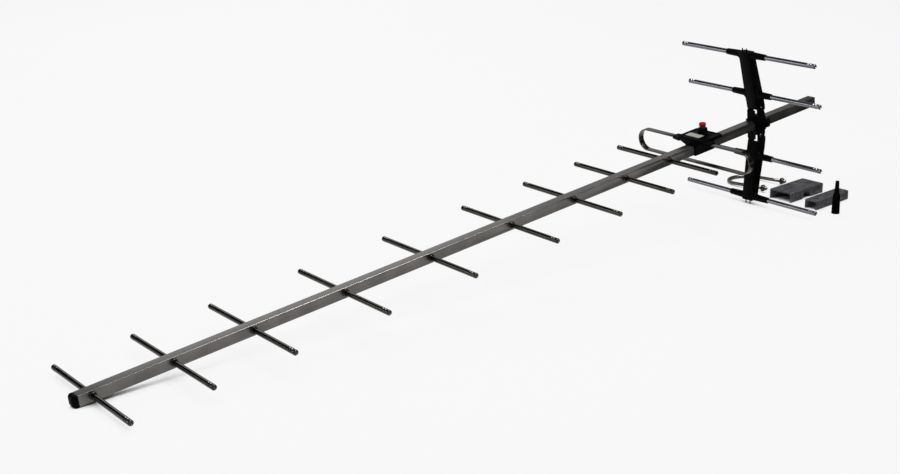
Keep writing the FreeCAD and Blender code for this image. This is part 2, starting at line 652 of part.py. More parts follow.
def u_bolt():
    profile = Part.Face(Part.Wire(Part.makeCircle(BOLT_R, V(LEG_HALF_SPACING, 0, 0), Y_AXIS)))
    shapes = [profile.revolve(V(0, 0, 0), Z_AXIS, -180)]
    for side in (-1, 1):
        leg = rod_between(V(side * LEG_HALF_SPACING, 0, 0), Y_AXIS, LEG_LENGTH, BOLT_R)
        tip = [e for e in leg.Edges if e.BoundBox.YMin > LEG_LENGTH - 0.01]
        shapes.append(leg.makeChamfer(1.0, tip))
    return u_bolt_pose(fused(shapes))


def u_bolt_nut(side):
    """A hexagon nut on one leg, resting on a flat."""
    nut = hexagon(V(0, 0, 0), NUT_FLATS, NUT_THICKNESS)
    dome = Part.makeCone(NUT_FLATS / 2 + 0.9, NUT_FLATS / 2 - 0.9, 1.6, V(0, 0, NUT_THICKNESS - 1.6), Z_AXIS)
    body = rod_between(V(0, 0, 0), Z_AXIS, NUT_THICKNESS - 1.6, NUT_FLATS)
    nut = nut.common(fused([body, dome]))
    collar = Part.makeCone(NUT_FLATS / 2 - 0.9, BOLT_R + 0.6, 2.4, V(0, 0, NUT_THICKNESS), Z_AXIS)
    nut = fused([nut, collar]).cut(rod_between(V(0, 0, -1), Z_AXIS, NUT_THICKNESS + 5, BOLT_R + PIN_GAP))
    nut.rotate(V(0, 0, 0), X_AXIS, -90)
    nut.translate(V(side * LEG_HALF_SPACING, LEG_LENGTH - NUT_THICKNESS - NUT_FROM_TIP, 0))
    return u_bolt_pose(nut)


def channel(size):
    """An upturned trough along X, standing on its two long walls."""
    length, width, height = size
    shell = block(-length / 2, length / 2, -width / 2, width / 2, 0, height)
    top_edges = [e for e in shell.Edges if e.BoundBox.ZMin > height - 0.01 and e.Length > length - 1]
    shell = shell.makeFillet(1.8, top_edges)
    half = width / 2 - BLOCK_WALL
    inside = block(-length, length, -half, half, -1, height - BLOCK_WALL)
    return shell.cut(inside)


def leg_holes(shape, height):
    for x in (-LEG_HALF_SPACING, LEG_HALF_SPACING):
        shape = shape.cut(rod_between(V(x, 0, -1), Z_AXIS, height + 2, LEG_HOLE_R))
    return shape


def mast_clamp_block():
    """The larger trough, with an arched seat for the mast right across it."""
    length, width, height = MAST_BLOCK
    centre_z = MAST_SEAT_DEPTH - MAST_R
    arch = rod_between(V(0, -width / 2, centre_z), Y_AXIS, width, MAST_R + MAST_SEAT_WALL)
    arch = arch.common(block(-length / 2, length / 2, -width / 2, width / 2, 0, height))
    shell = fused([channel(MAST_BLOCK), arch])
    groove = block(-8, 8, -width / 2 + 8, width / 2 - 8, height - 1.0, height + 1)
    shell = shell.cut(groove)
    for x in (-LEG_HALF_SPACING, LEG_HALF_SPACING):
        pad = rod_between(V(x, 0, height - 1), Z_AXIS, 1.6, 6.5)
        shell = fused([shell, pad])
    seat = rod_between(V(0, -width, centre_z), Y_AXIS, 2 * width, MAST_R)
    return laid_out(leg_holes(shell.cut(seat), height), MAST_BLOCK_PLACE)


def boom_clamp_block():
    """The smaller trough, with a shallow dish across its top."""
    length, width, height = BOOM_BLOCK
    shell = channel(BOOM_BLOCK)
    dish = rod_between(V(0, -width / 2 + 3, height - 1.1 + DISH_R), Y_AXIS, width - 6, DISH_R)
    return laid_out(leg_holes(shell.cut(dish), height), BOOM_BLOCK_PLACE)


def turned(profile):
    """A solid of revolution about Z from (radius, height) pairs."""
    points = [V(0, 0, profile[0][1])] + [V(r, 0, z) for r, z in profile] + [V(0, 0, profile[-1][1])]
    face = Part.Face(Part.makePolygon(points + [points[0]]))
    return face.revolve(V(0, 0, 0), Z_AXIS, 360)


def coax_boot():
    """A rubber sleeve that covers a coax plug, standing on its wide end."""
    return laid_out(turned(BOOT_OUTSIDE).cut(turned(BOOT_INSIDE)), BOOT_PLACE)


# ---------------------------------------------------------------- write every piece
os.makedirs("parts", exist_ok=True)

save("boom_tube", boom_tube())
save("boom_tail_cap", tail_cap())
save("boom_nose_cap", nose_cap())
for number, director_x in enumerate(DIRECTOR_X, 1):
    save("director_%d" % number, element_rod(director_x, 0, DIRECTOR_LENGTH))
save("director_ferrules", director_ferrules())

save("folded_dipole", folded_dipole())
save("dipole_box_base", box_base())
save("dipole_box_lid", box_lid())
save("box_gasket", gasket_ring())
save("lid_label", lid_label())
save("balun_board", balun_board())
save("balun_core", balun_core())
save("balun_winding", balun_winding())
save("terminal_screws", terminal_screws())
save("box_fixing_screws", box_fixing_screws())
save("f_connector", f_connector())
save("f_connector_insulator", f_connector_insulator())
save("connector_cap", connector_cap())

save("reflector_saddle", reflector_saddle())
save("saddle_screw", saddle_screw())
save("fold_pins_upper", fold_pins())
save("fold_pins_lower", flipped(fold_pins()))
save("reflector_arm_upper", reflector_arm())
save("reflector_arm_lower", flipped(reflector_arm()))
for number, (rod, sign) in enumerate(((OUTER_ROD, 1), (INNER_ROD, 1), (INNER_ROD, -1), (OUTER_ROD, -1)), 1):
    save("reflector_rod_%d" % number, element_rod(rod[0], sign * rod[1], REFLECTOR_ROD_LENGTH))

save("u_bolt", u_bolt())
save("u_bolt_nut_1", u_bolt_nut(-1))
save("u_bolt_nut_2", u_bolt_nut(1))
save("mast_clamp_block", mast_clamp_block())
save("boom_clamp_block", boom_clamp_block())
save("coax_boot", coax_boot())
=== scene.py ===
"""The look of a UHF yagi antenna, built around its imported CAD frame.  Metres."""
import bmesh
import bpy
import json
import math
from mathutils import Matrix, Vector


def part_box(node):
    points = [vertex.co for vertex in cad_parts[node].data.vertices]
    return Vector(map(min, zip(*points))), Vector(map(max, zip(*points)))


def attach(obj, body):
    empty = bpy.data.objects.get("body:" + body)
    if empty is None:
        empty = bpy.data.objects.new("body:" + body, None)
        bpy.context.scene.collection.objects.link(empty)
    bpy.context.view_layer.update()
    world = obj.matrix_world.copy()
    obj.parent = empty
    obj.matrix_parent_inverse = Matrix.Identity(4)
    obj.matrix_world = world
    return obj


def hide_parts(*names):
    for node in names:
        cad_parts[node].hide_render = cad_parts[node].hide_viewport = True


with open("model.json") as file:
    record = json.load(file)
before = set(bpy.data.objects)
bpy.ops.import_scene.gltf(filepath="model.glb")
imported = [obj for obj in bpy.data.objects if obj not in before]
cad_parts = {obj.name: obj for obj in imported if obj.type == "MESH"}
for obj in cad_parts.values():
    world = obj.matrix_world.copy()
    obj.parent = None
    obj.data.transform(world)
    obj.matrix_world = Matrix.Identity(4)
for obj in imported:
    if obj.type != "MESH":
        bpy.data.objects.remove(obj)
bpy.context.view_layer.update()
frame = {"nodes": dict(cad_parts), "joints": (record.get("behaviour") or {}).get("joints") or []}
nodes = frame["nodes"]
joints = {joint["name"]: joint for joint in frame["joints"]}
MM = 0.001

# What the frame's boxes and joints do not give: sizes in millimetres, counts and ratios.
GROOVES_MM = (7.0, 12.0)
GROOVE_CUTS_MM = (-1.2, -0.6, 0, 0.6, 1.2)
GROOVE_REACH_MM = 0.7
GROOVE_WAIST = 0.87
ROD_END_ROUND_MM = 1.3
COLLAR_MM = 1.8
STRIP_MM = 2.0
FEED_HALF_GAP_MM = 8.0
CAP_BAND_MM = 4.2
CAP_BAND_STEP_MM = 0.5
CAP_BORE_MM = 8.2
CAP_SECTORS = 36
SOCKET_R_MM = 4.76
SOCKET_PITCH_MM = 0.8
SOCKET_THREAD_MM = 0.35
SOCKET_PLAIN_MM = 8.0
SOCKET_BORE_MM = 7.5
FLANGE_MM = 3.4
FLANGE_FLATS_MM = 11.0
BOLT_R_MM = 3.0
BOLT_THREAD_MM = 0.4
BOLT_TIP_MM = 1.0
BOLT_LEG_MM = 67.0
BOLT_PITCH_MM = 1.0
BOLT_TURNS = 24
NUT_REACH_MM = 59.0
BOOT_HEIGHT_MM = 57.5
# The boot's outline: the radius and height of each ring, from its skirt to its neck.
BOOT_RINGS_MM = ((6.9, 2), (6.75, 10), (6.6, 20), (6.4, 26), (6.15, 31), (5.9, 33), (5.2, 35), (4.5, 37),
                 (4.15, 39), (3.9, 42), (3.7, 45), (3.5, 49), (3.3, 54), (3.2, 57), (3.0, BOOT_HEIGHT_MM))
BOOT_NECK_BORE_MM = 14
BOOT_SKIRT_BORE_MM = 30
# The ground is tilted: it passes through this point, square to the way the boot lifts.
GROUND_X = 172.0
GROUND_Z = -141.0
GROUND_UP = Vector(joints["boot_lift"]["axis"]).normalized()


# ---------------------------------------------------------------- colour and nodes
def srgb(code):
    """A hex colour as linear red, green, blue and alpha."""
    channels = []
    for i in (0, 2, 4):
        value = int(code[i:i + 2], 16) / 255
        channels.append(value / 12.92 if value <= 0.04045 else ((value + 0.055) / 1.055) ** 2.4)
    return (*channels, 1.0)


def add(tree, kind, sockets=None, links=None, stops=(), **settings):
    """Add a node, set its properties, sockets and ramp stops, and link other nodes' outputs to it."""
    node = tree.nodes.new(kind)
    for name, value in settings.items():
        setattr(node, name, value)
    for key, value in (sockets or {}).items():
        node.inputs[key].default_value = value
    for key, source in (links or {}).items():
        tree.links.new(source, node.inputs[key])
    if stops:
        for element, (position, colour) in zip(node.color_ramp.elements, stops):
            element.position = position
            element.color = colour
    return node


def new_material(name, **sockets):
    """A material with its shader; constant values go straight on the shader's sockets."""
    material = bpy.data.materials.new(name)
    material.use_nodes = True
    tree = material.node_tree
    shader = tree.nodes["Principled BSDF"]
    for key, value in sockets.items():
        shader.inputs[key.replace("_", " ")].default_value = value
    return material, tree, shader


def drawn_metal(name, light, dark, line_mm, along, roughness, spread):
    """Extruded, drawn or rolled metal: fine lines along its length, and duller cloudy patches."""
    material, tree, shader = new_material(name, Metallic=1.0)
    place = add(tree, "ShaderNodeTexCoord").outputs["Object"]
    per_metre = 1 / (line_mm * MM)
    scale = [per_metre, per_metre, per_metre]
    scale[along] = per_metre / 300
    stretched = add(tree, "ShaderNodeMapping", {"Scale": scale}, {"Vector": place}).outputs["Vector"]
    lines = add(tree, "ShaderNodeTexNoise", {"Scale": 1.0, "Detail": 3.0}, {"Vector": stretched})
    clouds = add(tree, "ShaderNodeTexNoise", {"Scale": 1 / (40 * MM), "Detail": 4.0}, {"Vector": place})
    half = add(tree, "ShaderNodeMath", {1: 0.6}, {0: lines.outputs["Fac"]}, operation="MULTIPLY")
    both = add(tree, "ShaderNodeMath", links={0: clouds.outputs["Fac"], 1: half.outputs[0]}, operation="ADD")
    tone = add(tree, "ShaderNodeValToRGB", links={"Fac": both.outputs[0]},
               stops=[(0.55, srgb(dark)), (1.0, srgb(light))])
    tree.links.new(tone.outputs["Color"], shader.inputs["Base Color"])
    dull = add(tree, "ShaderNodeMapRange", {"From Min": 0.3, "From Max": 0.7, "To Min": roughness - spread,
                                            "To Max": roughness + spread}, {"Value": clouds.outputs["Fac"]})
    tree.links.new(dull.outputs["Result"], shader.inputs["Roughness"])
    bump = add(tree, "ShaderNodeBump", {"Strength": 0.06, "Distance": 0.02 * MM},
               {"Height": lines.outputs["Fac"]})
    tree.links.new(bump.outputs["Normal"], shader.inputs["Normal"])
    return material


def moulding(name, colour, worn, grit_mm, patch_mm, roughness, specular, depth_mm=0.04):
    """A moulded part: the fine pitted texture of its tool, with paler, rubbed patches."""
    material, tree, shader = new_material(name, Specular_IOR_Level=specular)
    place = add(tree, "ShaderNodeTexCoord").outputs["Object"]
    grit = add(tree, "ShaderNodeTexNoise", {"Scale": 1 / (grit_mm * MM), "Detail": 2.0}, {"Vector": place})
    patches = add(tree, "ShaderNodeTexNoise", {"Scale": 1 / (patch_mm * MM), "Detail": 5.0}, {"Vector": place})
    tone = add(tree, "ShaderNodeValToRGB", links={"Fac": patches.outputs["Fac"]},
               stops=[(0.4, srgb(colour)), (0.7, srgb(worn))])
    tree.links.new(tone.outputs["Color"], shader.inputs["Base Color"])
    dull = add(tree, "ShaderNodeMapRange", {"From Min": 0.3, "From Max": 0.7, "To Min": roughness - 0.06,
                                            "To Max": roughness + 0.08}, {"Value": patches.outputs["Fac"]})
    tree.links.new(dull.outputs["Result"], shader.inputs["Roughness"])
    bump = add(tree, "ShaderNodeBump", {"Strength": 0.3, "Distance": depth_mm * MM},
               {"Height": grit.outputs["Fac"]})
    tree.links.new(bump.outputs["Normal"], shader.inputs["Normal"])
    return material


def printed_film(name, ground, ink):
    """Silvery label film with a worn grey print in two plain bands, and no lettering."""
    material, tree, shader = new_material(name, Roughness=0.42, Specular_IOR_Level=0.4)
    place = add(tree, "ShaderNodeTexCoord").outputs["Object"]
    low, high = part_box("lid_label")
    centre = (low + high) / 2
    centred = add(tree, "ShaderNodeVectorMath", {1: tuple(centre)}, {0: place}, operation="SUBTRACT")
    parts = add(tree, "ShaderNodeSeparateXYZ", links={"Vector": centred.outputs["Vector"]})
    wave = add(tree, "ShaderNodeMath", {1: 2 * math.pi / (5.5 * MM)}, {0: parts.outputs["X"]},
               operation="MULTIPLY")
    stripes = add(tree, "ShaderNodeMath", links={0: wave.outputs[0]}, operation="COSINE")
    reach = add(tree, "ShaderNodeMath", links={0: parts.outputs["Y"]}, operation="ABSOLUTE")
    inside = add(tree, "ShaderNodeMath", {1: 9.5 * MM}, {0: reach.outputs[0]}, operation="LESS_THAN")
    fade = add(tree, "ShaderNodeTexNoise", {"Scale": 1 / (2.2 * MM), "Detail": 3.0}, {"Vector": place})
    bands = add(tree, "ShaderNodeMath", {1: 0.35}, {0: stripes.outputs[0]}, operation="GREATER_THAN")
    kept = add(tree, "ShaderNodeMath", links={0: bands.outputs[0], 1: inside.outputs[0]}, operation="MULTIPLY")
    worn = add(tree, "ShaderNodeMath", links={0: kept.outputs[0], 1: fade.outputs["Fac"]}, operation="MULTIPLY")
    tone = add(tree, "ShaderNodeValToRGB", links={"Fac": worn.outputs[0]},
               stops=[(0.1, srgb(ground)), (0.75, srgb(ink))])
    tree.links.new(tone.outputs["Color"], shader.inputs["Base Color"])
    return material


def pvc_with_painted_shade(name, painted_shade_red, bright):
    """Dipped soft PVC, with painted shade: the red darkens down the cap towards its mouth, where the collar
    shades it.
    """
    material, tree, shader = new_material(name, Roughness=0.34, Specular_IOR_Level=0.15)
    place = add(tree, "ShaderNodeTexCoord").outputs["Object"]
    parts = add(tree, "ShaderNodeSeparateXYZ", links={"Vector": place})
    low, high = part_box("connector_cap")
    # Painted shade: the cap's height sets the red, from dark at its mouth to bright at its top.
    depth = add(tree, "ShaderNodeMapRange", {"From Min": low.z + 2 * MM, "From Max": high.z},
                {"Value": parts.outputs["Z"]})
    clouds = add(tree, "ShaderNodeTexNoise", {"Scale": 1 / (3 * MM), "Detail": 2.0}, {"Vector": place})
    shade = add(tree, "ShaderNodeMath", {1: 0.2, 2: -0.1}, {0: clouds.outputs["Fac"]}, operation="MULTIPLY_ADD")
    both = add(tree, "ShaderNodeMath", links={0: depth.outputs["Result"], 1: shade.outputs[0]}, operation="ADD")
    tone = add(tree, "ShaderNodeValToRGB", links={"Fac": both.outputs[0]},
               stops=[(0.2, srgb(painted_shade_red)), (0.85, srgb(bright))])
    tree.links.new(tone.outputs["Color"], shader.inputs["Base Color"])
    return material


# Mill-finish aluminium, extruded: a soft satin grey with die lines along the boom.
boom_metal = drawn_metal("extruded_aluminium", "73706D", "5B5957", 0.7, 0, 0.34, 0.04)
# Drawn aluminium tube: smoother and shinier, so it mirrors the dark room along its middle.
rod_metal = drawn_metal("drawn_aluminium_tube", "46433F", "322F2D", 0.6, 1, 0.17, 0.02)
# The reflector's tubes are newer stock, and look brighter and bluer.
reflector_metal = drawn_metal("bright_aluminium_tube", "797B81", "686A70", 0.6, 1, 0.2, 0.02)
# Rolled aluminium strip: warm grey, with long rolling lines round the loop.
strip_metal = drawn_metal("rolled_aluminium_strip", "5C5852", "44413D", 0.6, 1, 0.24, 0.03)
# Zinc-plated steel: cloudy grey plating on wire and pressed nuts.
zinc = drawn_metal("zinc_plated_steel", "5F5C58", "45423F", 0.5, 2, 0.3, 0.05)
# Blackened steel: the nuts are darker than the bolt, with an oiled look.
dark_steel = drawn_metal("blackened_steel", "403E3B", "2C2A28", 0.5, 2, 0.32, 0.05)
# Nickel-plated brass: a slightly warm bright plating on the coax socket.
nickel = drawn_metal("nickel_plated_brass", "C9C3B6", "A8A296", 0.4, 2, 0.22, 0.05)
# Black ABS, injection moulded: nearly black, with a fine matt texture.
black_abs = moulding("black_abs", "030303", "070708", 0.5, 14, 0.45, 0.03)
# Glass-filled nylon: dark grey, blotched where the fibres lie at the surface.
grey_nylon = moulding("glass_filled_nylon", "46474B", "6C6D72", 0.6, 7, 0.5, 0.4, 0.06)
# Black rubber, compression moulded: soft and dull.
rubber = moulding("black_rubber", "020202", "050505", 0.6, 12, 0.6, 0.03)
# Red soft PVC, dipped: smooth with a soft shine, with painted shade darkening it towards its mouth.
red_pvc = pvc_with_painted_shade("red_pvc", "2E0408", "C2121E")
# Polyurethane enamel on copper wire: a dark transparent red-brown.
enamel = moulding("enamelled_copper", "5A2410", "7C3A1C", 0.3, 4, 0.25, 0.6, 0.01)
# Glass-epoxy laminate: a glossy green resist over a woven sheet.
laminate = moulding("glass_epoxy_board", "1F5A34", "2C6E42", 0.8, 6, 0.36, 0.5, 0.02)
# Sintered ferrite: dark and stony.
ferrite = moulding("sintered_ferrite", "1A1A1B", "2A2A2B", 0.4, 3, 0.6, 0.3)
# PTFE, turned: milky white.
ptfe = moulding("turned_ptfe", "D8D8D2", "E4E4DE", 0.4, 4, 0.45, 0.4, 0.01)
silver_label = printed_film("silver_label_film", "D4D5CB", "83837B")


# ---------------------------------------------------------------- modelling by hand
def alone(piece):
    """Select one piece and nothing else."""
    bpy.ops.object.select_all(action="DESELECT")
    piece.select_set(True)
    bpy.context.view_layer.objects.active = piece


def begin(name, primitive, **sizes):
    """Add a primitive on its own and keep its turn and place in its mesh."""
    bpy.ops.object.select_all(action="DESELECT")
    primitive(**sizes)
    piece = bpy.context.object
    piece.name = name
    bpy.ops.object.transform_apply(location=True, rotation=True, scale=True)
    bpy.ops.object.mode_set(mode="EDIT")
    return piece


def pick_faces(piece, test):
    """In edit mode, select the faces whose middle and normal pass a test."""
    bpy.ops.mesh.select_mode(type="FACE")
    bpy.ops.mesh.select_all(action="DESELECT")
    mesh = bmesh.from_edit_mesh(piece.data)
    for face in mesh.faces:
        if test(face.calc_center_median(), face.normal):
            face.select_set(True)
    bmesh.update_edit_mesh(piece.data)


def pick_edges(piece, test):
    """In edit mode, select the edges whose two ends pass a test."""
    bpy.ops.mesh.select_mode(type="EDGE")
    bpy.ops.mesh.select_all(action="DESELECT")
    mesh = bmesh.from_edit_mesh(piece.data)
    for edge in mesh.edges:
        if test(edge.verts[0].co, edge.verts[1].co):
            edge.select_set(True)
    bmesh.update_edit_mesh(piece.data)


def extrude(move, scale=1.0, centre=(0, 0, 0), flat=2):
    """Extrude the selected faces and size their new end about a centre, across one axis."""
    bpy.ops.mesh.extrude_region_move(TRANSFORM_OT_translate={"value": move})
    if scale != 1.0:
        factors = [scale, scale, scale]
        factors[flat] = 1.0
        bpy.ops.transform.resize(value=factors, center_override=centre)


def round_edges(piece, width_mm, steps=2, angle=40):
    """Round every sharp edge with an applied bevel."""
    alone(piece)
    bevel = piece.modifiers.new("rounding", "BEVEL")
    bevel.width = width_mm * MM
    bevel.segments = steps
    bevel.limit_method = "ANGLE"
    bevel.angle_limit = math.radians(angle)
    bevel.use_clamp_overlap = False
    bpy.ops.object.modifier_apply(modifier=bevel.name)


def finish(piece, body, material, replaced=(), smooth=35):
    """Close the piece's seams, shade it, give it its finish and let it ride on its body."""
    if piece.mode == "EDIT":
        bpy.ops.object.mode_set(mode="OBJECT")
    alone(piece)
    bpy.ops.object.mode_set(mode="EDIT")
    bpy.ops.mesh.select_all(action="SELECT")
    bpy.ops.mesh.remove_doubles(threshold=0.002 * MM)
    bpy.ops.mesh.normals_make_consistent(inside=False)
    bpy.ops.object.mode_set(mode="OBJECT")
    bpy.ops.object.shade_smooth_by_angle(angle=math.radians(smooth))
    piece.data.materials.clear()
    piece.data.materials.append(material)
    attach(piece, body)
    if replaced:
        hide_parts(*replaced)
    return piece


def copy_at(piece, name, move):
    """A copy with its own mesh, moved to its place."""
    alone(piece)
    bpy.ops.object.duplicate(linked=False)
    twin = bpy.context.object
    twin.name = name
    bpy.ops.transform.translate(value=move)
    bpy.ops.object.transform_apply(location=True, rotation=True, scale=True)
    return twin


def place_in(piece, matrix):
    """Move a piece from its own drawing axes to its place, inside its mesh."""
    if piece.mode == "EDIT":
        bpy.ops.object.mode_set(mode="OBJECT")
    alone(piece)
    piece.matrix_world = matrix
    bpy.ops.object.transform_apply(location=True, rotation=True, scale=True)


def softened(node, body, material, round_mm, steps=2):
    """A CAD moulding with its triangles merged into faces and its edges rounded."""
    piece = nodes[node].copy()
    piece.data = nodes[node].data.copy()
    piece.name = node + "_soft"
    piece.parent = None
    piece.matrix_world = Matrix.Identity(4)
    bpy.context.scene.collection.objects.link(piece)
    alone(piece)
    bpy.ops.object.mode_set(mode="EDIT")
    bpy.ops.mesh.select_all(action="SELECT")
    bpy.ops.mesh.remove_doubles(threshold=0.005 * MM)
    bpy.ops.mesh.dissolve_limited(angle_limit=math.radians(0.5))
    bpy.ops.object.mode_set(mode="OBJECT")
    round_edges(piece, round_mm, steps)
    return finish(piece, body, material, (node,))


# ---------------------------------------------------------------- elements
def middle(node):
    """The middle of a CAD part's box."""
    low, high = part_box(node)
    return (low + high) / 2


ROD_R = (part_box("director_1")[1].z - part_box("director_1")[0].z) / 2


def drawn_rod(name, length):
    """A tube with spun-over ends and two rolled grooves near each end."""
    half = length / 2
    rod = begin(name, bpy.ops.mesh.primitive_cylinder_add, vertices=40, radius=ROD_R, depth=length,
                rotation=(math.pi / 2, 0, 0))
    for side in (-1, 1):
        for groove in GROOVES_MM:
            y = side * (half - groove * MM)
            for offset in GROOVE_CUTS_MM:
                bpy.ops.mesh.select_all(action="SELECT")
                bpy.ops.mesh.bisect(plane_co=(0, y + offset * MM, 0), plane_no=(0, 1, 0))
            reach = GROOVE_REACH_MM * MM
            pick_edges(rod, lambda a, b: abs(a.y - y) < reach and abs(b.y - y) < reach)
            bpy.ops.transform.resize(value=(GROOVE_WAIST, 1, GROOVE_WAIST), center_override=(0, y, 0))
    pick_edges(rod, lambda a, b: abs(abs(a.y) - half) < 1e-6 and abs(abs(b.y) - half) < 1e-6)
    bpy.ops.mesh.bevel(offset=ROD_END_ROUND_MM * MM, segments=5, affect="EDGES")
    pick_faces(rod, lambda centre, normal: abs(normal.y) > 0.99 and abs(abs(centre.y) - half) < 1e-6)
    bpy.ops.mesh.inset(thickness=0.7 * MM, depth=0)
    bpy.ops.mesh.inset(thickness=0.4 * MM, depth=-0.5 * MM)
    bpy.ops.object.mode_set(mode="OBJECT")
    return rod


def elements():
    """Nine directors and four reflector rods, as copies of the two lengths that are drawn."""
    director = drawn_rod("director_model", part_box("director_1")[1].y * 2)
    reflector = drawn_rod("reflector_model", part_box("reflector_rod_1")[1].y * 2)
    for number in range(1, 10):
        node = "director_%d" % number
        rod = copy_at(director, node + "_rod", middle(node))
        finish(rod, "antenna", rod_metal, (node,))
    for number in range(1, 5):
        node = "reflector_rod_%d" % number
        rod = copy_at(reflector, node + "_rod", middle(node))
        body = "upper_arm" if number < 3 else "lower_arm"
        finish(rod, body, reflector_metal, (node,))
    for model in (director, reflector):
        bpy.data.objects.remove(model)


def ferrules():
    """Pressed collars that hold each director where it passes through the boom."""
    low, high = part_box("director_ferrules")
    radius = high.z
    thickness = COLLAR_MM * MM
    collar = begin("collar_model", bpy.ops.mesh.primitive_cylinder_add, vertices=40, radius=radius,
                   depth=thickness, rotation=(math.pi / 2, 0, 0))
    pick_faces(collar, lambda centre, normal: abs(normal.y) > 0.9)
    bpy.ops.mesh.inset(thickness=radius - ROD_R - 0.05 * MM, depth=0)
    bpy.ops.mesh.bridge_edge_loops()
    bpy.ops.object.mode_set(mode="OBJECT")
    round_edges(collar, 0.45, 3)
    collars = []
    reach = high.y - thickness / 2
    for number in range(1, 10):
        centre = middle("director_%d" % number)
        for side in (-1, 1):
            collars.append(copy_at(collar, "collar", (centre.x, side * reach, centre.z)))
    bpy.data.objects.remove(collar)
    alone(collars[0])
    for item in collars:
        item.select_set(True)
    bpy.ops.object.join()
    joined = bpy.context.object
    joined.name = "director_collars"
    finish(joined, "antenna", strip_metal, ("director_ferrules",))


# ---------------------------------------------------------------- folded dipole
def dipole():
    """A flat strip bent round both ends of the loop, with its feed gap at the top."""
    low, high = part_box("folded_dipole")
    width = high.x - low.x
    thick = STRIP_MM * MM
    gap = FEED_HALF_GAP_MM * MM
    top = high.z - thick / 2
    radius = (high.z - low.z - thick) / 2
    straight = high.y - thick / 2 - radius
    centre_x = (low.x + high.x) / 2
    axis_z = (low.z + high.z) / 2
    strip = begin("folded_dipole_strip", bpy.ops.mesh.primitive_plane_add, size=1,
                  location=(centre_x, gap, top), rotation=(math.pi / 2, 0, 0))
    bpy.ops.transform.resize(value=(width, 1, thick), center_override=(centre_x, gap, top))
    extrude((0, straight - gap, 0))
    bpy.ops.mesh.spin(steps=36, angle=math.pi, center=(centre_x, straight, axis_z), axis=(1, 0, 0))
    extrude((0, -2 * straight, 0))
    bpy.ops.mesh.spin(steps=36, angle=math.pi, center=(centre_x, -straight, axis_z), axis=(1, 0, 0))
    extrude((0, straight - gap, 0))
    bpy.ops.mesh.select_all(action="SELECT")
    bpy.ops.mesh.remove_doubles(threshold=0.01 * MM)
    bpy.ops.mesh.normals_make_consistent(inside=False)
    bpy.ops.object.mode_set(mode="OBJECT")
    round_edges(strip, 0.5, 3, 60)
    finish(strip, "antenna", strip_metal, ("folded_dipole",))


# ---------------------------------------------------------------- coax port
def thread(turns, pitch, move_axis, radius, depth, centre):
    """Extrude a screw thread as close ridges, from the faces that are selected."""
    step = [0.0, 0.0, 0.0]
    step[move_axis] = pitch / 2
    inner = (radius - depth) / radius
    place = list(centre)
    for _ in range(turns):
        for scale in (inner, 1 / inner):
            place[move_axis] += step[move_axis]
            extrude(step, scale, place, move_axis)


def dust_cap():
    """A soft push-on cap with a ribbed grip band and a dished top."""
    low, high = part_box("connector_cap")
    centre = (low + high) / 2
    band = CAP_BAND_MM * MM
    outer = (high.x - low.x) / 2
    body_r = outer - CAP_BAND_STEP_MM * MM
    cap = begin("red_dust_cap", bpy.ops.mesh.primitive_cylinder_add, vertices=72, radius=body_r,
                depth=high.z - low.z - band, location=(centre.x, centre.y, (low.z + high.z - band) / 2))
    pick_faces(cap, lambda middle_point, normal: normal.z > 0.9)
    extrude((0, 0, 0.3 * MM), outer / body_r, (centre.x, centre.y, 0))
    extrude((0, 0, band - 0.9 * MM))
    extrude((0, 0, 0.6 * MM), 0.93, (centre.x, centre.y, 0))
    bpy.ops.mesh.inset(thickness=1.0 * MM, depth=0)
    bpy.ops.mesh.inset(thickness=0.5 * MM, depth=-0.5 * MM)
    pick_faces(cap, lambda middle_point, normal: normal.z < -0.9 and middle_point.z < low.z + 1e-5)
    bpy.ops.mesh.inset(thickness=0.45 * MM, depth=0)
    extrude((0, 0, CAP_BORE_MM * MM))
    grip_z = high.z - band / 2

    def on_alternate_rib(middle_point, normal):
        angle = math.atan2(middle_point.y - centre.y, middle_point.x - centre.x)
        reach = math.hypot(middle_point.y - centre.y, middle_point.x - centre.x)
        sector = int((angle / (2 * math.pi) + 1) * CAP_SECTORS)
        return abs(middle_point.z - grip_z) < 1.0 * MM and reach > body_r and sector % 2 == 0

    pick_faces(cap, on_alternate_rib)
    bpy.ops.mesh.inset(thickness=0.06 * MM, depth=-0.3 * MM)
    finish(cap, "cap", red_pvc, ("connector_cap",), 50)


def coax_socket():
    """The threaded socket: a hexagon flange and a finely threaded barrel with a bore."""
    low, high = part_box("f_connector")
    centre = (low + high) / 2
    flange = FLANGE_MM * MM
    radius = SOCKET_R_MM * MM
    pitch = SOCKET_PITCH_MM * MM
    plain = SOCKET_PLAIN_MM * MM
    socket = begin("coax_socket", bpy.ops.mesh.primitive_cylinder_add, vertices=48, radius=radius,
                   depth=plain, location=(centre.x, centre.y, low.z + plain / 2))
    pick_faces(socket, lambda place, normal: normal.z > 0.9)
    height = high.z - low.z
    turns = int((height - plain - 1 * MM) / pitch)
    thread(turns, pitch, 2, radius, SOCKET_THREAD_MM * MM, (centre.x, centre.y, low.z + plain))
    extrude((0, 0, height - plain - turns * pitch), 0.9, (centre.x, centre.y, 0))
    bpy.ops.mesh.inset(thickness=0.9 * MM, depth=0)
    extrude((0, 0, -SOCKET_BORE_MM * MM))
    bpy.ops.object.mode_set(mode="OBJECT")
    hexagon = begin("socket_flange", bpy.ops.mesh.primitive_cylinder_add, vertices=6,
                    radius=FLANGE_FLATS_MM * MM / math.sqrt(3), depth=flange,
                    location=(centre.x, centre.y, low.z + flange / 2), rotation=(0, 0, math.pi / 6))
    bpy.ops.object.mode_set(mode="OBJECT")
    round_edges(hexagon, 0.3, 2)
    alone(socket)
    hexagon.select_set(True)
    bpy.ops.object.join()
    finish(socket, "antenna", nickel, ("f_connector",))


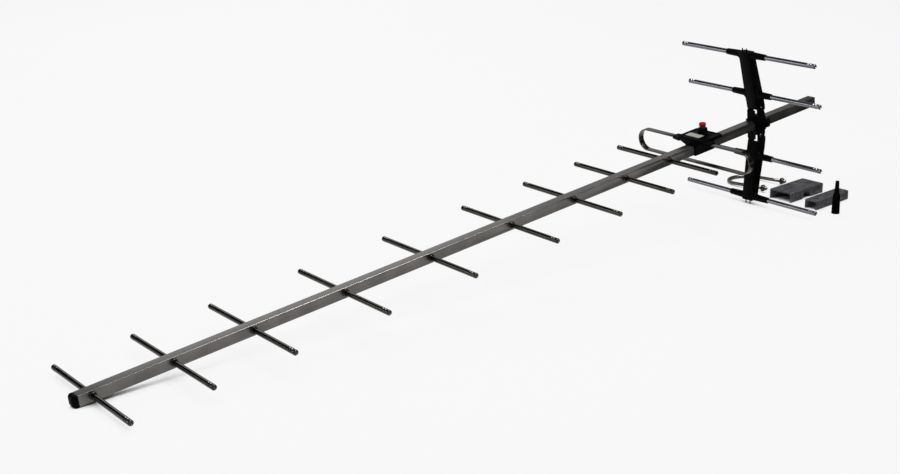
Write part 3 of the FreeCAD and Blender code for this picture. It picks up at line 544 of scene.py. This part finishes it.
# ---------------------------------------------------------------- loose mast clamp
def leg_frame():
    """The U-bolt's own axes: X across its legs, Y along them, with its bend at the origin."""
    first = Vector(joints["nut_1_turn"]["pos_m"])
    second = Vector(joints["nut_2_turn"]["pos_m"])
    along = Vector(joints["nut_1_turn"]["axis"]).normalized()
    across = (second - first).normalized()
    up = across.cross(along)
    origin = (first + second) / 2 - along * NUT_REACH_MM * MM
    turn = Matrix((across, along, up)).transposed().to_4x4()
    return Matrix.Translation(origin) @ turn, (second - first).length / 2


def u_bolt():
    """Round wire bent to a half circle, with a thread cut on both legs."""
    matrix, spacing = leg_frame()
    pitch = BOLT_PITCH_MM * MM
    tip = BOLT_TIP_MM * MM
    plain = BOLT_LEG_MM * MM - BOLT_TURNS * pitch - tip
    bolt = begin("u_bolt_wire", bpy.ops.mesh.primitive_circle_add, vertices=28, radius=BOLT_R_MM * MM,
                 location=(-spacing, 0, 0), rotation=(-math.pi / 2, 0, 0), fill_type="NGON")
    bpy.ops.mesh.spin(steps=40, angle=-math.pi, center=(0, 0, 0), axis=(0, 0, 1))
    bpy.ops.mesh.select_all(action="SELECT")
    bpy.ops.mesh.normals_make_consistent(inside=False)
    for side in (-1, 1):
        pick_faces(bolt, lambda place, normal: abs(place.x - side * spacing) < 0.01 * MM
                   and abs(place.y) < 0.01 * MM and abs(normal.y) > 0.99)
        extrude((0, plain, 0))
        thread(BOLT_TURNS, pitch, 1, BOLT_R_MM * MM, BOLT_THREAD_MM * MM, (side * spacing, plain, 0))
        extrude((0, tip, 0), 0.72, (side * spacing, 0, 0), 1)
    place_in(bolt, matrix)
    finish(bolt, "mast_bolt", zinc, ("u_bolt",), 30)


def boot():
    """A rubber sleeve drawn in from a wide skirt to a narrow neck, with moulded rings."""
    radius, z = BOOT_RINGS_MM[0]
    sleeve = begin("coax_boot_sleeve", bpy.ops.mesh.primitive_cylinder_add, vertices=56,
                   radius=radius * MM, depth=z * MM, location=(0, 0, z * MM / 2))
    pick_faces(sleeve, lambda place, normal: normal.z > 0.9)
    for next_radius, next_z in BOOT_RINGS_MM[1:]:
        extrude((0, 0, (next_z - z) * MM), next_radius / radius)
        radius, z = next_radius, next_z
    bpy.ops.mesh.inset(thickness=1.1 * MM, depth=0)
    extrude((0, 0, -BOOT_NECK_BORE_MM * MM), 1.2)
    pick_faces(sleeve, lambda place, normal: normal.z < -0.9 and place.z < 0.01 * MM)
    bpy.ops.mesh.inset(thickness=1.4 * MM, depth=0)
    extrude((0, 0, BOOT_SKIRT_BORE_MM * MM), 0.93)
    tilt = Vector((0, 0, 1)).rotation_difference(GROUND_UP).to_matrix().to_4x4()
    base = middle("coax_boot") - GROUND_UP * BOOT_HEIGHT_MM * MM / 2
    place_in(sleeve, Matrix.Translation(base) @ tilt)
    finish(sleeve, "boot", rubber, ("coax_boot",), 50)


# ---------------------------------------------------------------- softened mouldings
def mouldings():
    """The CAD parts that keep their shape: body, material, edge rounding in mm and its steps."""
    softened("boom_tube", "antenna", boom_metal, 0.58, 3)
    softened("boom_nose_cap", "antenna", black_abs, 0.5)
    softened("boom_tail_cap", "antenna", black_abs, 0.5)
    softened("dipole_box_base", "antenna", black_abs, 0.4)
    softened("dipole_box_lid", "box_lid", black_abs, 0.35)
    softened("lid_label", "box_lid", silver_label, 0.08, 1)
    softened("reflector_saddle", "antenna", black_abs, 0.5)
    softened("reflector_arm_upper", "upper_arm", black_abs, 0.5)
    softened("reflector_arm_lower", "lower_arm", black_abs, 0.5)
    softened("mast_clamp_block", "mast_block", grey_nylon, 0.6)
    softened("boom_clamp_block", "boom_block", grey_nylon, 0.6)
    softened("u_bolt_nut_1", "bolt_nut_1", dark_steel, 0.3)
    softened("u_bolt_nut_2", "bolt_nut_2", dark_steel, 0.3)


CAD_FINISH = {
    "box_gasket": rubber, "balun_board": laminate, "balun_core": ferrite, "balun_winding": enamel,
    "terminal_screws": zinc, "box_fixing_screws": zinc, "f_connector_insulator": ptfe,
    "saddle_screw": zinc, "fold_pins_upper": black_abs, "fold_pins_lower": zinc,
}


def cad_finishes():
    """Finishes for the parts shown straight from the CAD."""
    for name, node in nodes.items():
        node.data.materials.clear()
        node.data.materials.append(CAD_FINISH.get(name, black_abs))


# ---------------------------------------------------------------- studio
CAMERA_PLACE = (1.9789, 1.5447, 0.7989)
CAMERA_TURN = (67.738, 5.785, 141.069)
LENS_MM = 56.84


def softbox(name, place, target, size, power):
    """A rectangular lamp turned to a target; metres and watts."""
    data = bpy.data.lights.new(name, "AREA")
    data.shape = "RECTANGLE"
    data.size, data.size_y = size
    data.energy = power
    lamp = bpy.data.objects.new(name, data)
    lamp.location = place
    lamp.rotation_euler = (Vector(target) - Vector(place)).to_track_quat("-Z", "Y").to_euler()
    bpy.context.scene.collection.objects.link(lamp)
    return lamp


def card(name, x, y, size, material, lift_mm):
    """A flat sheet on the ground below a point of the antenna."""
    ground = Vector((GROUND_X, 0, GROUND_Z)) * MM
    along = Vector((GROUND_UP.z, 0, -GROUND_UP.x))
    across = Vector((0, 1, 0))
    place = ground + along * (x * MM - ground.x) + across * y * MM + GROUND_UP * lift_mm * MM
    bpy.ops.object.select_all(action="DESELECT")
    bpy.ops.mesh.primitive_plane_add(size=1, location=place)
    sheet = bpy.context.object
    sheet.name = name
    sheet.scale = (size[0] * MM, size[1] * MM, 1)
    sheet.rotation_euler = Vector((0, 0, 1)).rotation_difference(GROUND_UP).to_euler()
    sheet.data.materials.append(material)
    return sheet


def studio():
    """A pale glowing floor with painted shade where the pieces close it in, a black flag and soft light."""
    pale, tree, shader = new_material("pale_floor", Roughness=0.95, Specular_IOR_Level=0.1)
    shader.inputs["Base Color"].default_value = srgb("6A6A6A")
    shader.inputs["Emission Color"].default_value = srgb("FFFFFF")
    # Painted shade: the floor's glow fades to dark where the pieces close it in, as inside the clamp blocks.
    painted_shade_occlusion = add(tree, "ShaderNodeAmbientOcclusion", {"Distance": 30 * MM}, samples=8)
    glow_with_painted_shade = add(tree, "ShaderNodeMapRange", {"From Min": 0.25, "From Max": 0.56, "To Max": 0.85},
               {"Value": painted_shade_occlusion.outputs["AO"]})
    tree.links.new(glow_with_painted_shade.outputs["Result"], shader.inputs["Emission Strength"])
    card("studio_floor", GROUND_X, 0, (24000, 24000), pale, 0)
    felt, _, shader = new_material("black_felt", Roughness=1.0, Specular_IOR_Level=0.0)
    shader.inputs["Base Color"].default_value = srgb("020202")
    # The flag darkens reflections in the boom's rear, and is seen by nothing else.
    flag = card("rear_black_flag", -650, 610, (1600, 1200), felt, 0.3)
    flag.visible_camera = False
    flag.visible_diffuse = False
    flag.visible_shadow = False
    softbox("top_softbox", (0.6, 0.3, 3.2), (0.6, 0, 0), (4.5, 4.5), 78)
    softbox("far_softbox", (-0.45, -3.1, 1.6), (-0.45, 0, 0), (2.3, 1.5), 17)
    softbox("far_left_softbox", (-3.0, -3.1, 1.6), (-3.0, 0, 0), (2.8, 1.5), 10)
    softbox("right_softbox", (4.3, -3.1, 1.6), (0.8, 0, 0), (1.6, 1.5), 32)
    ridge = softbox("ridge_softbox", (-0.3, 1.7, 3.2), (0.9, 0, 0), (1.7, 1.3), 260)
    # The ridge lamp only puts a shine on the metal.
    ridge.visible_diffuse = False
    world = bpy.data.worlds.new("studio")
    world.use_nodes = True
    world.node_tree.nodes["Background"].inputs["Color"].default_value = (0.03, 0.03, 0.033, 1)
    bpy.context.scene.world = world
    bpy.context.scene.view_settings.view_transform = "Standard"


def camera():
    """The camera, with its place in metres and its turn in degrees."""
    data = bpy.data.cameras.new("camera")
    data.lens = LENS_MM
    data.clip_end = 50
    item = bpy.data.objects.new("camera", data)
    item.location = CAMERA_PLACE
    item.rotation_euler = [math.radians(a) for a in CAMERA_TURN]
    bpy.context.scene.collection.objects.link(item)
    bpy.context.scene.camera = item


camera()
cad_finishes()
elements()
ferrules()
dipole()
dust_cap()
coax_socket()
u_bolt()
boot()
mouldings()
studio()
